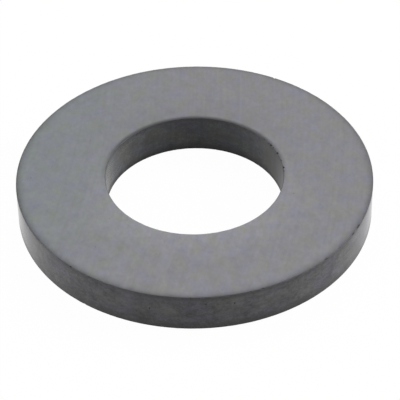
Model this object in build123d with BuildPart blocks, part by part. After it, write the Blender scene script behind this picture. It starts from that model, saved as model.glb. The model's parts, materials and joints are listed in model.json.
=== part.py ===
"""Ferrite ring magnet: one ring of sintered hard ferrite, magnetised through its thickness.

Millimetres. The origin is the centre of the lower pole face, and +Z runs up the axis of the bore.
"""

from build123d import *
import os

os.makedirs("parts", exist_ok=True)

# Size of the finished ring
outer_diameter = 60.0
bore_diameter = 30.0
thickness = 7.0

# Each pole face is ground flat, and tumbling with other rings then wears it gently down towards
# its outer edge and its bore. A rim is a shallow arc that starts level with the flat face: each
# has the width of face that it takes in, and its depth below the face at the wall.
outer_rim_width = 2.2
outer_rim_drop = 0.1
bore_rim_width = 4.0
bore_rim_drop = 0.08

# The tight radius that tumbling leaves where a rim meets a pressed wall
edge_radius = 0.1

outer_radius = outer_diameter / 2
bore_radius = bore_diameter / 2
half_thickness = thickness / 2

# The section is drawn from the middle of the thickness: x is the radius, y the height above it.
section_plane = Plane(origin=(0, 0, half_thickness), x_dir=(1, 0, 0), z_dir=(0, -1, 0))

with BuildPart() as ring_magnet:
    with BuildSketch(section_plane) as section:
        with BuildLine():
            # The walls are as the die left them, straight and parallel to the axis.
            outer_wall = Line((outer_radius, 0), (outer_radius, half_thickness - outer_rim_drop))
            outer_rim = TangentArc(
                (outer_radius - outer_rim_width, half_thickness), outer_wall @ 1, tangent=(1, 0)
            )
            pole_face = Line(outer_rim @ 0, (bore_radius + bore_rim_width, half_thickness))
            bore_rim = TangentArc(
                pole_face @ 1, (bore_radius, half_thickness - bore_rim_drop), tangent=(-1, 0)
            )
            Line(bore_rim @ 1, (bore_radius, 0))
            mirror(about=Plane.XZ)
        make_face()
        # A corner is where a rim meets a wall, well away from the middle of the thickness.
        corners = section.vertices().filter_by(
            lambda point: abs(point.Y) > half_thickness / 2
            and min(outer_radius - point.X, point.X - bore_radius) < edge_radius
        )
        fillet(corners, radius=edge_radius)
    revolve(axis=Axis.Z)

ring_magnet.part.label = "ring_magnet"
export_step(ring_magnet.part, "parts/ring_magnet.step")
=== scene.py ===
"""The ferrite ring magnet on a white sweep in soft studio light. Everything is in metres."""

import json
import math
import random

import bpy
from mathutils import Matrix, Vector


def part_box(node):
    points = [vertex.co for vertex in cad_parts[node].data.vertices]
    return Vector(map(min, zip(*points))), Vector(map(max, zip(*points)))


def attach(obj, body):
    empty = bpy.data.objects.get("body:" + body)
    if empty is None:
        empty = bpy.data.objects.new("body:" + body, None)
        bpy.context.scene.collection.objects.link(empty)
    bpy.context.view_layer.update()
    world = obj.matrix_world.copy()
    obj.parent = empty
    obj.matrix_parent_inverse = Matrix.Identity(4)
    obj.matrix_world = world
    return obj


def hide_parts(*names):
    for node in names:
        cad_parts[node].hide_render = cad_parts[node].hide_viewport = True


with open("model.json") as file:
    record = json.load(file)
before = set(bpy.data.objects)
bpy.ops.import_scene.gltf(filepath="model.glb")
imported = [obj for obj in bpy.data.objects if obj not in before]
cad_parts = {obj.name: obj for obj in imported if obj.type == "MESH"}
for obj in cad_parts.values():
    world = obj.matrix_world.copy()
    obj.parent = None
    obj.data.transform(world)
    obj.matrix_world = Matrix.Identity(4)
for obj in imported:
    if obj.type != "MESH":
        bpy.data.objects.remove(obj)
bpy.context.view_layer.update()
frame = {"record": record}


# Ring
# One ring of strontium ferrite: powder pressed in a die, sintered hard, and ground flat on both pole
# faces. It was then tumbled with other rings, which wore its rims down and rounded its edges, and it
# stands for the CAD node of the same ring.

MM = 0.001
low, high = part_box("ring_magnet")
outer_radius = high.x
thickness = high.z
bore_radius = next(m["dims"]["r_mm"] for m in frame["record"]["mounts"] if m["name"] == "bore") * MM

outer_rim_width = 2.2 * MM
outer_rim_drop = 0.1 * MM
bore_rim_width = 4.0 * MM
bore_rim_drop = 0.08 * MM
edge_radius = 0.1 * MM
edge_segments = 6
rim_stations = 7
face_stations = 3
wall_stations = 5
turns = 720


def edit(piece):
    """Goes into edit mode on one piece with nothing selected."""
    bpy.ops.object.mode_set(mode="OBJECT")
    bpy.ops.object.select_all(action="DESELECT")
    piece.select_set(True)
    bpy.context.view_layer.objects.active = piece
    bpy.ops.object.mode_set(mode="EDIT")
    bpy.ops.mesh.select_mode(type="VERT")
    bpy.ops.mesh.select_all(action="DESELECT")


def select_points(piece, wanted):
    """Selects the points of the piece, in edit mode, whose place passes the test."""
    bpy.ops.object.mode_set(mode="OBJECT")
    for point in piece.data.vertices:
        point.select = bool(wanted(point.co))
    bpy.ops.object.mode_set(mode="EDIT")


def cut(point, normal):
    """Cuts all that is in edit mode by a plane."""
    bpy.ops.mesh.select_all(action="SELECT")
    bpy.ops.mesh.bisect(plane_co=point, plane_no=normal)


bpy.ops.object.select_all(action="DESELECT")
bpy.ops.mesh.primitive_plane_add(
    size=1,
    location=((outer_radius + bore_radius) / 2, 0, thickness / 2),
    rotation=(math.pi / 2, 0, 0),
)
ring = bpy.context.object
ring.name = "sintered_ring"
ring.scale = (outer_radius - bore_radius, thickness, 1)
bpy.ops.object.transform_apply(location=True, rotation=True, scale=True)

# The section's outline: each face gets stations along its two rims and across its flat, and the
# walls get stations up their height.
rims = (
    (outer_radius, -outer_rim_width, outer_rim_drop),
    (bore_radius, bore_rim_width, bore_rim_drop),
)
edit(ring)
bpy.ops.mesh.select_all(action="SELECT")
bpy.ops.mesh.delete(type="ONLY_FACE")
for wall_radius, width, drop in rims:
    for station in range(1, rim_stations + 1):
        cut((wall_radius + width * station / rim_stations, 0, 0), (1, 0, 0))
flat_start = bore_radius + bore_rim_width
flat_width = outer_radius - outer_rim_width - flat_start
for station in range(1, face_stations):
    cut((flat_start + flat_width * station / face_stations, 0, 0), (1, 0, 0))
wall_foot = outer_rim_drop + edge_radius * 2
for station in range(wall_stations + 1):
    cut((0, 0, wall_foot + (thickness - 2 * wall_foot) * station / wall_stations), (0, 0, 1))

# Each rim falls away in a shallow arc, from level with the flat face to its full drop at the wall.
# Points within a micrometre of each other count as one.
close = 0.001 * MM
for wall_radius, width, drop in rims:
    for station in range(rim_stations):
        radius = wall_radius + width * station / rim_stations
        fall = drop * (1 - station / rim_stations) ** 2
        for face_height, move in ((thickness, -fall), (0.0, fall)):
            select_points(
                ring,
                lambda place: abs(place.x - radius) < close and abs(place.z - face_height) < close,
            )
            bpy.ops.transform.translate(value=(0, 0, move))

corners = [(radius, height) for radius, width, drop in rims for height in (drop, thickness - drop)]
select_points(
    ring,
    lambda place: any(abs(place.x - r) < close and abs(place.z - h) < close for r, h in corners),
)
bpy.ops.mesh.bevel(offset=edge_radius, segments=edge_segments, affect="VERTICES")

bpy.ops.mesh.select_all(action="SELECT")
bpy.ops.mesh.spin(steps=turns, angle=math.tau, center=(0, 0, 0), axis=(0, 0, 1))
bpy.ops.mesh.select_all(action="SELECT")
bpy.ops.mesh.remove_doubles(threshold=close)
bpy.ops.mesh.normals_make_consistent(inside=False)
bpy.ops.object.mode_set(mode="OBJECT")

# Tumbling leaves the corners a little uneven: they are worn in by up to the depth given.
edge_wear = 0.06 * MM
edge_reach = 1.6 * edge_radius
worn = ring.vertex_groups.new(name="corners")
for point in ring.data.vertices:
    radius, height = math.hypot(point.co.x, point.co.y), point.co.z
    away = min(math.hypot(radius - r, height - h) for r, h in corners)
    if away < edge_reach:
        worn.add([point.index], 1 - away / edge_reach, "REPLACE")
uneven = bpy.data.textures.new("uneven_wear", "CLOUDS")
uneven.noise_scale = 0.9 * MM
wear = ring.modifiers.new("edge_wear", "DISPLACE")
wear.texture = uneven
wear.texture_coords = "LOCAL"
wear.vertex_group = "corners"
wear.mid_level = 1.0
wear.strength = edge_wear
bpy.ops.object.modifier_apply(modifier="edge_wear")


def linear(code):
    """Turns a hex sRGB colour into linear red, green, blue and alpha."""
    parts = [int(code[place:place + 2], 16) / 255 for place in (1, 3, 5)]
    return [p / 12.92 if p <= 0.04045 else ((p + 0.055) / 1.055) ** 2.4 for p in parts] + [1.0]


def add_node(tree, kind, inputs=None, output=0, **settings):
    """Adds a node with its settings and gives back one of its outputs. Each input is given a value
    or the output that feeds it."""
    node = tree.nodes.new(kind)
    for name, value in settings.items():
        setattr(node, name, value)
    for name, value in (inputs or {}).items():
        if isinstance(value, bpy.types.NodeSocket):
            tree.links.new(value, node.inputs[name])
        else:
            node.inputs[name].default_value = value
    return node.outputs[output]


def new_material(name, **values):
    """Makes a material and sets the values that are the same all over it."""
    material = bpy.data.materials.new(name)
    material.use_nodes = True
    shader = material.node_tree.nodes["Principled BSDF"]
    for socket, value in values.items():
        shader.inputs[socket.replace("_", " ")].default_value = value
    return material, material.node_tree, shader


# Sintered hard ferrite is a dense iron oxide ceramic. Ground by a wheel and then tumbled, its pole
# faces are a satin mid grey with a fine mottle and barely seen wheel marks.
ground, tree, shader = new_material("ground_ferrite", IOR=1.6)
place = add_node(tree, "ShaderNodeTexCoord", output="Object")
# The patches are a third longer along the way that the wheel went, which is roughly the Y axis.
in_mm = add_node(tree, "ShaderNodeMapping", {"Vector": place, "Scale": (1 / MM, 0.75 / MM, 1 / MM)})
flat_mm = add_node(tree, "ShaderNodeMapping", {"Vector": place, "Scale": (1 / MM, 1 / MM, 0)})
from_axis = add_node(tree, "ShaderNodeVectorMath", {0: flat_mm}, "Value", operation="LENGTH")

# The mottle runs from patches 1.6 mm across down to grains of 0.35 mm, the finest that still show.
patch_mm = 1.6
mottle = add_node(
    tree, "ShaderNodeTexNoise",
    {"Vector": in_mm, "Scale": 1 / patch_mm, "Detail": 2.2, "Roughness": 0.9},
)
# The marks are arcs round the middle of the wheel. Real ones are finer: these are 0.6 mm apart, so
# that they still show.
wheel_centre_mm = (-210.0, 30.0, 0.0)
mark_gap_mm = 0.6
from_wheel = add_node(
    tree, "ShaderNodeVectorMath", {0: flat_mm, 1: wheel_centre_mm}, "Value", operation="DISTANCE"
)
marks = add_node(
    tree, "ShaderNodeTexNoise",
    {"W": from_wheel, "Scale": 1 / mark_gap_mm, "Detail": 1.5, "Roughness": 0.6},
    noise_dimensions="1D",
)
tone = add_node(tree, "ShaderNodeMapRange", {"Value": mottle, "From Min": 0.25, "From Max": 0.75})
mark_tone = add_node(
    tree, "ShaderNodeMapRange",
    {"Value": marks, "From Min": 0.2, "From Max": 0.8, "To Min": -0.16, "To Max": 0.16},
)
tone = add_node(tree, "ShaderNodeMath", {0: tone, 1: mark_tone}, operation="ADD")
face_colour = add_node(
    tree, "ShaderNodeMix", {"Factor": tone, 6: linear("#62626b"), 7: linear("#6f6f7a")}, 2,
    data_type="RGBA",
)
# Patches 2.2 mm across drift between a violet and an olive grey. The side nearest the middle of the
# wheel is greener, most of all 185 mm from it, and that fades out raggedly towards 215 mm.
face_tint_mm = 2.2
greenest_mm, plain_mm, ragged_mm = 185.0, 215.0, 12.0
hue = add_node(
    tree, "ShaderNodeTexNoise",
    {"Vector": in_mm, "Scale": 1 / face_tint_mm, "Detail": 1.5, "Roughness": 0.6},
)
hue = add_node(tree, "ShaderNodeMapRange", {"Value": hue, "From Min": 0.3, "From Max": 0.7})
hue_tint = add_node(
    tree, "ShaderNodeMix", {"Factor": hue, 6: linear("#ffffe4"), 7: linear("#f7f7ff")}, 2,
    data_type="RGBA",
)
face_colour = add_node(
    tree, "ShaderNodeMix", {"Factor": 1.0, 6: face_colour, 7: hue_tint}, 2,
    data_type="RGBA", blend_type="MULTIPLY",
)
wheel_side = add_node(
    tree, "ShaderNodeMath", {0: hue, 1: ragged_mm, 2: from_wheel}, operation="MULTIPLY_ADD"
)
wheel_side = add_node(
    tree, "ShaderNodeMapRange",
    {"Value": wheel_side, "From Min": greenest_mm, "From Max": plain_mm},
)
wheel_tint = add_node(
    tree, "ShaderNodeMix", {"Factor": wheel_side, 6: linear("#edfffd"), 7: linear("#ffffff")}, 2,
    data_type="RGBA",
)
face_colour = add_node(
    tree, "ShaderNodeMix", {"Factor": 1.0, 6: face_colour, 7: wheel_tint}, 2,
    data_type="RGBA", blend_type="MULTIPLY",
)
# Painted light and shade: the slope round the bore is paler along the front and darker along the
# back.
outer_mm = outer_radius / MM
bore_mm = bore_radius / MM
painted_front_light, painted_back_shade = 0.3, -0.18
across_mm = add_node(tree, "ShaderNodeSeparateXYZ", {0: flat_mm}, "Y")
near_bore = add_node(
    tree, "ShaderNodeMapRange",
    {"Value": from_axis, "From Min": bore_mm + 6.5, "From Max": bore_mm + 0.3},
)
painted_bore_rim_light = add_node(
    tree, "ShaderNodeMapRange",
    {"Value": across_mm, "From Min": -bore_mm, "From Max": bore_mm,
     "To Min": painted_front_light, "To Max": painted_back_shade},
)
painted_bore_rim_light = add_node(tree, "ShaderNodeMath", {0: near_bore, 1: painted_bore_rim_light, 2: 1.0}, operation="MULTIPLY_ADD")
face_colour = add_node(
    tree, "ShaderNodeVectorMath", {0: face_colour, "Scale": painted_bore_rim_light}, "Vector", operation="SCALE"
)
# Scattered open pores are 0.2 to 0.3 mm across. The cells they lie in are 1.9 mm apart, and fewer
# than half of the cells have one.
pore_gap_mm = 1.9
cells = add_node(
    tree, "ShaderNodeTexVoronoi",
    {"Vector": in_mm, "Scale": 1 / pore_gap_mm, "Randomness": 1.0}, "Distance",
)
pore = add_node(
    tree, "ShaderNodeMapRange",
    {"Value": cells, "From Min": 0.05, "From Max": 0.085, "To Min": 1.0, "To Max": 0.0},
)
open_share = add_node(
    tree, "ShaderNodeMapRange",
    {"Value": cells.node.outputs["Color"], "From Min": 0.55, "From Max": 0.8},
)
pore = add_node(tree, "ShaderNodeMath", {0: pore, 1: open_share}, operation="MULTIPLY")
# Handling and tumbling take the ground sheen off along the outer edge, which shows the dark body.
# The back half of the bore's edge is given the same dark colour as painted shade.
dark_body_and_shade = linear("#2c2c2e")
most_darkened = 0.55
outer_wear = add_node(
    tree, "ShaderNodeMapRange",
    {"Value": from_axis, "From Min": outer_mm - 1.8, "From Max": outer_mm - 0.1},
)
outer_wear = add_node(tree, "ShaderNodeMath", {0: outer_wear, 1: 2.5}, operation="POWER")
# Painted shade: the bore's edge is darkened along its back half only.
bore_back_painted_shade = add_node(
    tree, "ShaderNodeMapRange",
    {"Value": from_axis, "From Min": bore_mm + 0.85, "From Max": bore_mm + 0.2},
)
back_half = add_node(
    tree, "ShaderNodeMapRange",
    {"Value": across_mm, "From Min": -0.2 * bore_mm, "From Max": 0.6 * bore_mm, "To Max": 1.5},
)
bore_back_painted_shade = add_node(tree, "ShaderNodeMath", {0: bore_back_painted_shade, 1: back_half}, operation="MULTIPLY")
wear_pores_and_painted_shade = add_node(tree, "ShaderNodeMath", {0: outer_wear, 1: bore_back_painted_shade}, operation="ADD")
wear_pores_and_painted_shade = add_node(tree, "ShaderNodeMath", {0: wear_pores_and_painted_shade, 1: pore}, operation="MAXIMUM")
wear_pores_and_painted_shade = add_node(tree, "ShaderNodeMath", {0: wear_pores_and_painted_shade, 1: most_darkened}, operation="MULTIPLY")
face_colour = add_node(
    tree, "ShaderNodeMix", {"Factor": wear_pores_and_painted_shade, 6: face_colour, 7: dark_body_and_shade}, 2, data_type="RGBA"
)
tree.links.new(face_colour, shader.inputs["Base Color"])
rough = add_node(
    tree, "ShaderNodeMapRange",
    {"Value": mottle, "From Min": 0.25, "From Max": 0.75, "To Min": 0.46, "To Max": 0.38},
)
rough = add_node(tree, "ShaderNodeMath", {0: wear_pores_and_painted_shade, 1: 0.3, 2: rough}, operation="MULTIPLY_ADD")
tree.links.new(rough, shader.inputs["Roughness"])
height = add_node(tree, "ShaderNodeMath", {0: marks, 1: 0.4, 2: mottle}, operation="MULTIPLY_ADD")
height = add_node(tree, "ShaderNodeMath", {0: pore, 1: -1.5, 2: height}, operation="MULTIPLY_ADD")
bump = add_node(tree, "ShaderNodeBump", {"Height": height, "Strength": 1.0, "Distance": 0.004 * MM})
tree.links.new(bump, shader.inputs["Normal"])

# The walls keep the skin that the die and the kiln gave them: dark charcoal, a little blue, and
# blotched by dust and handling. Tumbling burnished the outer wall until it mirrors pale surroundings
# at a glancing angle. The bore was out of reach of the other rings, and dust keeps it dull.
# The colour of the painted shade along the walls' foot and under their upper edge, and of the darker
# +X side of the bore
band_dark = linear("#1c1c1b")
top_mm = thickness / MM
blotch_mm, streak_mm, wall_tint_mm = 2.4, 0.6, 3.0
rough_span = 0.07
# Name, index, darkest and palest colour, least roughness, half the range of noise that takes the
# colour from one to the other, and the share of darkening on the +X side
wall_finishes = (
    ("burnished_ferrite_wall", 1.45, "#252527", "#56565d", 0.07, 0.14, 0.0),
    ("unburnished_ferrite_bore", 1.33, "#28292a", "#5d5f62", 0.23, 0.27, 0.5),
)
wall_skins = []
for name, index, dark, pale, least_rough, half_range, side_darkening in wall_finishes:
    skin, tree, shader = new_material(name, IOR=index)
    wall_skins.append(skin)
    place = add_node(tree, "ShaderNodeTexCoord", output="Object")
    in_mm = add_node(tree, "ShaderNodeMapping", {"Vector": place, "Scale": (1 / MM, 1 / MM, 1 / MM)})
    # Dull blotches 2.4 mm high and half as long again, down to specks of 0.1 mm
    lain_mm = add_node(
        tree, "ShaderNodeMapping", {"Vector": place, "Scale": (0.65 / MM, 0.65 / MM, 1 / MM)}
    )
    blotches = add_node(
        tree, "ShaderNodeTexNoise",
        {"Vector": lain_mm, "Scale": 1 / blotch_mm, "Detail": 4.8, "Roughness": 0.97},
    )
    # Faint streaks 0.6 mm wide run up the wall, the way that the ring left the die.
    drawn_mm = add_node(
        tree, "ShaderNodeMapping", {"Vector": place, "Scale": (1 / MM, 1 / MM, 0.08 / MM)}
    )
    streaks = add_node(
        tree, "ShaderNodeTexNoise",
        {"Vector": drawn_mm, "Scale": 1 / streak_mm, "Detail": 2.0, "Roughness": 0.5},
    )
    tone = add_node(
        tree, "ShaderNodeMapRange",
        {"Value": blotches, "From Min": 0.5 - half_range, "From Max": 0.5 + half_range},
    )
    streak_tone = add_node(
        tree, "ShaderNodeMapRange",
        {"Value": streaks, "From Min": 0.2, "From Max": 0.8, "To Min": -0.13, "To Max": 0.13},
    )
    tone = add_node(tree, "ShaderNodeMath", {0: tone, 1: streak_tone}, operation="ADD")
    wall_colour = add_node(
        tree, "ShaderNodeMix", {"Factor": tone, 6: linear(dark), 7: linear(pale)}, 2, data_type="RGBA"
    )
    # Patches 3 mm high drift between a violet and an olive tint.
    hue = add_node(
        tree, "ShaderNodeTexNoise", {"Vector": lain_mm, "Scale": 1 / wall_tint_mm, "Detail": 1.0}
    )
    hue = add_node(tree, "ShaderNodeMapRange", {"Value": hue, "From Min": 0.35, "From Max": 0.65})
    hue_tint = add_node(
        tree, "ShaderNodeMix", {"Factor": hue, 6: linear("#ffffec"), 7: linear("#f5f3ff")}, 2,
        data_type="RGBA",
    )
    wall_colour = add_node(
        tree, "ShaderNodeMix", {"Factor": 1.0, 6: wall_colour, 7: hue_tint}, 2,
        data_type="RGBA", blend_type="MULTIPLY",
    )
    # Painted shade darkens a ragged band along the foot, and a thinner one under the upper edge.
    height_mm = add_node(tree, "ShaderNodeSeparateXYZ", {0: in_mm}, "Z")
    ragged = add_node(
        tree, "ShaderNodeMapRange",
        {"Value": blotches, "From Min": 0.3, "From Max": 0.7, "To Min": -0.4, "To Max": 0.4},
    )
    ragged = add_node(tree, "ShaderNodeMath", {0: height_mm, 1: ragged}, operation="ADD")
    foot_painted_shade = add_node(
        tree, "ShaderNodeMapRange",
        {"Value": ragged, "From Min": 1.9, "From Max": 0.4, "To Max": 0.95},
    )
    # The thinner band of painted shade is darkest along the front of the outer wall.
    across_mm = add_node(tree, "ShaderNodeSeparateXYZ", {0: in_mm}, "Y")
    rim_shade_strength = add_node(
        tree, "ShaderNodeMapRange",
        {"Value": across_mm, "From Min": -0.99 * outer_mm, "From Max": -0.9 * outer_mm,
         "To Min": 0.65, "To Max": 0.25},
    )
    rim_painted_shade = add_node(
        tree, "ShaderNodeMapRange",
        {"Value": ragged, "From Min": top_mm - 1.0, "From Max": top_mm - 0.35, "To Max": rim_shade_strength},
    )
    darkening_share = add_node(tree, "ShaderNodeMath", {0: foot_painted_shade, 1: rim_painted_shade}, operation="MAXIMUM")
    # The bore is also darker on its +X side, where its larger flakes are.
    side_mm = add_node(tree, "ShaderNodeSeparateXYZ", {0: in_mm}, "X")
    side_darkening_share = add_node(
        tree, "ShaderNodeMapRange",
        {"Value": side_mm, "From Min": 0.72 * bore_mm, "From Max": 0.92 * bore_mm,
         "To Max": side_darkening},
    )
    darkening_share = add_node(tree, "ShaderNodeMath", {0: darkening_share, 1: side_darkening_share}, operation="MAXIMUM")
    wall_colour = add_node(
        tree, "ShaderNodeMix", {"Factor": darkening_share, 6: wall_colour, 7: band_dark}, 2, data_type="RGBA"
    )
    tree.links.new(wall_colour, shader.inputs["Base Color"])
    rough = add_node(
        tree, "ShaderNodeMapRange",
        {"Value": blotches, "From Min": 0.3, "From Max": 0.7,
         "To Min": least_rough, "To Max": least_rough + rough_span},
    )
    rough = add_node(
        tree, "ShaderNodeMath", {0: darkening_share, 1: 0.2, 2: rough}, operation="MULTIPLY_ADD"
    )
    tree.links.new(rough, shader.inputs["Roughness"])
    height = add_node(
        tree, "ShaderNodeMath", {0: streaks, 1: 0.5, 2: blotches}, operation="MULTIPLY_ADD"
    )
    bump = add_node(
        tree, "ShaderNodeBump", {"Height": height, "Strength": 1.0, "Distance": 0.006 * MM}
    )
    tree.links.new(bump, shader.inputs["Normal"])

# Knocks against other rings leave the corners a dull dark grey, duller than the walls beside them,
# with scuffs about 1 mm across. Those of the lower face are painted nearly black, as painted shade
# where the ring meets the floor.
scuff_mm = 1.2
worn_corner, tree, shader = new_material("worn_ferrite_corner", IOR=1.4)
place = add_node(tree, "ShaderNodeTexCoord", output="Object")
in_mm = add_node(tree, "ShaderNodeMapping", {"Vector": place, "Scale": (1 / MM, 1 / MM, 1 / MM)})
scuffs = add_node(
    tree, "ShaderNodeTexNoise",
    {"Vector": in_mm, "Scale": 1 / scuff_mm, "Detail": 3.0, "Roughness": 0.7},
)
corner_colour = add_node(
    tree, "ShaderNodeMix", {"Factor": scuffs, 6: linear("#333335"), 7: linear("#5a5a5e")}, 2,
    data_type="RGBA",
)
height_mm = add_node(tree, "ShaderNodeSeparateXYZ", {0: in_mm}, "Z")
# Painted shade: the corners within 1 mm of the floor are painted nearly black.
foot_painted_shade = add_node(
    tree, "ShaderNodeMapRange", {"Value": height_mm, "From Min": 1.0, "From Max": 0.4, "To Max": 0.95}
)
corner_colour = add_node(
    tree, "ShaderNodeMix", {"Factor": foot_painted_shade, 6: corner_colour, 7: linear("#141413")}, 2,
    data_type="RGBA",
)
tree.links.new(corner_colour, shader.inputs["Base Color"])
rough = add_node(tree, "ShaderNodeMapRange", {"Value": scuffs, "To Min": 0.6, "To Max": 0.45})
rough = add_node(tree, "ShaderNodeMath", {0: foot_painted_shade, 1: 0.35, 2: rough}, operation="MULTIPLY_ADD")
tree.links.new(rough, shader.inputs["Roughness"])
bump = add_node(tree, "ShaderNodeBump", {"Height": scuffs, "Strength": 1.0, "Distance": 0.01 * MM})
tree.links.new(bump, shader.inputs["Normal"])

# Broken ferrite is the bare body itself: dark grey, crumbly and without any sheen. Its crumbs are
# 0.25 mm across, coarser than real ones, so that they show.
crumb_mm = 0.25
broken, tree, shader = new_material("broken_ferrite", IOR=1.5)
place = add_node(tree, "ShaderNodeTexCoord", output="Object")
in_mm = add_node(tree, "ShaderNodeMapping", {"Vector": place, "Scale": (1 / MM, 1 / MM, 1 / MM)})
crumbs = add_node(
    tree, "ShaderNodeTexNoise",
    {"Vector": in_mm, "Scale": 1 / crumb_mm, "Detail": 3.0, "Roughness": 0.6},
)
tone = add_node(tree, "ShaderNodeMapRange", {"Value": crumbs, "From Min": 0.3, "From Max": 0.7})
broken_colour = add_node(
    tree, "ShaderNodeMix", {"Factor": tone, 6: linear("#29292b"), 7: linear("#454548")}, 2,
    data_type="RGBA",
)
tree.links.new(broken_colour, shader.inputs["Base Color"])
rough = add_node(tree, "ShaderNodeMapRange", {"Value": crumbs, "To Min": 0.65, "To Max": 0.8})
tree.links.new(rough, shader.inputs["Roughness"])
bump = add_node(tree, "ShaderNodeBump", {"Height": crumbs, "Strength": 1.0, "Distance": 0.02 * MM})
tree.links.new(bump, shader.inputs["Normal"])

ring.data.materials.clear()
for material in (ground, *wall_skins, worn_corner, broken):
    ring.data.materials.append(material)
face_slot, outer_slot, bore_slot, corner_slot = range(4)
middle_radius = (outer_radius + bore_radius) / 2
for face in ring.data.polygons:
    level = abs(face.normal.z)
    if level > 0.95:
        face.material_index = face_slot
    elif level >= 0.1:
        face.material_index = corner_slot
    elif math.hypot(face.center.x, face.center.y) > middle_radius:
        face.material_index = outer_slot
    else:
        face.material_index = bore_slot

# Ferrite is brittle: knocks have flaked small shells off its edges and opened a few pits in its wall.
# Each is the shape of a lumpy pebble set on the edge or the wall, and one boolean cuts them all.
outer_top = thickness - outer_rim_drop
outer_foot = outer_rim_drop
bore_top = thickness - bore_rim_drop
# Degrees anticlockwise from +X, distance from the axis, height, length round the ring and depth
flakes = [
    (61.0, outer_radius, outer_top, 0.5 * MM, 0.25 * MM),
    (-91.8, outer_radius, outer_top, 0.4 * MM, 0.15 * MM),
    (-132.0, outer_radius, outer_top, 0.45 * MM, 0.2 * MM),
    (-127.0, outer_radius, outer_foot, 0.6 * MM, 0.22 * MM),
    (-73.5, outer_radius, outer_top, 0.5 * MM, 0.15 * MM),
    (-69.5, outer_radius, outer_top, 0.6 * MM, 0.17 * MM),
    (-46.0, outer_radius, outer_top, 0.8 * MM, 0.2 * MM),
    (-31.5, outer_radius, outer_top, 0.7 * MM, 0.16 * MM),
    (-27.5, outer_radius, outer_top, 1.2 * MM, 0.26 * MM),
    (-104.4, outer_radius, 4.0 * MM, 0.25 * MM, 0.16 * MM),
    (-87.2, outer_radius, 5.5 * MM, 0.22 * MM, 0.15 * MM),
    (-78.5, outer_radius, 5.1 * MM, 0.2 * MM, 0.15 * MM),
    (29.0, bore_radius, bore_top, 0.45 * MM, 0.28 * MM),
    (26.0, bore_radius, bore_top, 0.3 * MM, 0.2 * MM),
    (20.0, bore_radius, bore_top, 0.5 * MM, 0.3 * MM),
    (12.5, bore_radius, bore_top, 0.3 * MM, 0.2 * MM),
    (5.2, bore_radius, bore_top, 0.5 * MM, 0.3 * MM),
    (1.8, bore_radius, bore_top, 0.3 * MM, 0.2 * MM),
]
# Smaller ones are spread at random round each corner. Those above are placed clear of them, because
# the boolean fails where two pebbles meet.
small_flakes = 6
knocks = random.Random(11)
for radius, height in corners:
    for knock in range(small_flakes):
        angle = knocks.uniform(0, 360)
        length = knocks.uniform(0.2, 0.45) * MM
        flakes.append((angle, radius, height, length, knocks.uniform(0.1, 0.18) * MM))

pebble_height = 0.8
pebble_lumpiness = 0.35
lumps = bpy.data.textures.new("pebble_lumps", "CLOUDS")
lumps.noise_scale = 0.12 * MM
pebbles = []
for angle, radius, height, length, depth in flakes:
    turn = math.radians(angle)
    bpy.ops.object.select_all(action="DESELECT")
    bpy.ops.mesh.primitive_ico_sphere_add(
        subdivisions=3,
        radius=1.0,
        location=(radius * math.cos(turn), radius * math.sin(turn), height),
        rotation=(0, 0, turn),
    )
    pebble = bpy.context.object
    pebble.scale = (depth, length / 2, depth * pebble_height)
    bpy.ops.object.transform_apply(location=True, rotation=True, scale=True)
    lumpy = pebble.modifiers.new("lumpy", "DISPLACE")
    lumpy.texture = lumps
    lumpy.texture_coords = "LOCAL"
    lumpy.strength = pebble_lumpiness * depth
    bpy.ops.object.modifier_apply(modifier="lumpy")
    pebble.data.materials.append(broken)
    pebbles.append(pebble)
bpy.ops.object.select_all(action="DESELECT")
for pebble in pebbles:
    pebble.select_set(True)
bpy.context.view_layer.objects.active = pebbles[0]
bpy.ops.object.join()
cutter = bpy.context.object

bpy.ops.object.select_all(action="DESELECT")
bpy.context.view_layer.objects.active = ring
ring.select_set(True)
flaking = ring.modifiers.new("flaking", "BOOLEAN")
flaking.object = cutter
flaking.operation = "DIFFERENCE"
flaking.solver = "EXACT"
flaking.material_mode = "TRANSFER"
bpy.ops.object.modifier_apply(modifier="flaking")
bpy.data.objects.remove(cutter)

# The boolean leaves about 200 points within a micrometre of another, and these are merged. How many
# are merged differs by a few from run to run.
edit(ring)
bpy.ops.mesh.select_all(action="SELECT")
bpy.ops.mesh.remove_doubles(threshold=close)
bpy.ops.object.mode_set(mode="OBJECT")

# Smooth all over, apart from the sharp lips of the flakes
lip_angle = math.radians(35)
bpy.ops.object.select_all(action="DESELECT")
bpy.context.view_layer.objects.active = ring
ring.select_set(True)
bpy.ops.object.shade_smooth_by_angle(angle=lip_angle)

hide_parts("ring_magnet")
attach(ring, "root")


# Floor
# A white matt sweep, the plain surface that the ring lies on. The camera sees it as all but plain
# white, and the small share that is left takes the ring's shadow. In the ring's own gloss a quarter
# of it takes the shadow.

bpy.ops.object.select_all(action="DESELECT")
bpy.ops.mesh.primitive_plane_add(size=3.0, location=(0, 0, -0.01 * MM))
floor = bpy.context.object
floor.name = "floor"
sweep, tree, shader = new_material("matt_white_sweep", Roughness=0.9, IOR=1.5)
shader.inputs["Base Color"].default_value = linear("#f4f4f4")
seen_share = 0.98
mirrored_share = 0.75
paths = add_node(tree, "ShaderNodeLightPath", output="Is Camera Ray").node.outputs
share = add_node(
    tree, "ShaderNodeMath", {0: paths["Is Camera Ray"], 1: seen_share}, operation="MULTIPLY"
)
share = add_node(
    tree, "ShaderNodeMath", {0: paths["Is Transmission Ray"], 1: seen_share, 2: share},
    operation="MULTIPLY_ADD",
)
share = add_node(
    tree, "ShaderNodeMath", {0: paths["Is Glossy Ray"], 1: mirrored_share, 2: share},
    operation="MULTIPLY_ADD", use_clamp=True,
)
white = add_node(tree, "ShaderNodeEmission", {"Strength": 1.0})
mixed = add_node(tree, "ShaderNodeMixShader", {0: share, 1: shader.outputs[0], 2: white})
tree.links.new(mixed, tree.nodes["Material Output"].inputs["Surface"])
floor.data.materials.append(sweep)


# Light
# Two wide softboxes stand low at the sides, a little behind the ring. Two more light it from behind,
# one low and one high. The room around them is dim.

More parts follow.
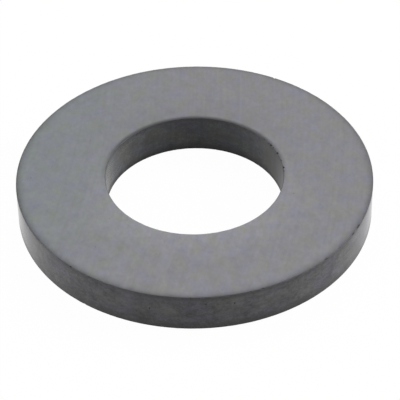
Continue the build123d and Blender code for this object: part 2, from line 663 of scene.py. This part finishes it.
room_light = 0.35
world = bpy.data.worlds.new("studio")
bpy.context.scene.world = world
world.use_nodes = True
world.node_tree.nodes["Background"].inputs["Color"].default_value = (1, 1, 1, 1)
world.node_tree.nodes["Background"].inputs["Strength"].default_value = room_light


def softbox(name, azimuth, elevation, distance, width, height, power):
    """Hangs a rectangular lamp that faces the ring. Its azimuth is in degrees anticlockwise from +X,
    and its elevation in degrees above the floor."""
    lamp = bpy.data.lights.new(name, "AREA")
    lamp.shape = "RECTANGLE"
    lamp.size = width
    lamp.size_y = height
    lamp.energy = power
    box = bpy.data.objects.new(name, lamp)
    bpy.context.scene.collection.objects.link(box)
    a, e = math.radians(azimuth), math.radians(elevation)
    place = Vector((math.cos(e) * math.cos(a), math.cos(e) * math.sin(a), math.sin(e))) * distance
    box.location = place
    box.rotation_euler = place.to_track_quat("Z", "Y").to_euler()


# Name, azimuth, elevation, distance, width, height and watts
softbox("softbox_left", 170, 14, 0.7, 0.5, 0.3, 2.7)
softbox("softbox_right", 10, 24, 0.7, 0.5, 0.45, 4.5)
softbox("softbox_back_low", 90, 16, 0.9, 0.8, 0.3, 1.35)
softbox("softbox_back_high", 90, 54, 0.7, 0.5, 0.25, 1.5)


# Camera
# A long lens a third of a metre away, 40 degrees above the floor, as in the photograph.

lens_mm = 177.4
sensor_mm = 36.0
camera_distance = 331.5 * MM
camera_elevation = math.radians(40.32)
camera_roll = math.radians(-0.87)
aim = Vector((0.84 * MM, -6.72 * MM, thickness))

lens = bpy.data.cameras.new("camera")
lens.lens = lens_mm
lens.sensor_width = sensor_mm
lens.clip_start = 0.01
camera = bpy.data.objects.new("camera", lens)
bpy.context.scene.collection.objects.link(camera)
camera.location = (
    0,
    -camera_distance * math.cos(camera_elevation),
    thickness + camera_distance * math.sin(camera_elevation),
)
sight = (aim - camera.location).to_track_quat("-Z", "Y").to_matrix()
camera.rotation_euler = (sight @ Matrix.Rotation(camera_roll, 3, "Z")).to_euler()
bpy.context.scene.camera = camera

bpy.context.scene.view_settings.view_transform = "Standard"
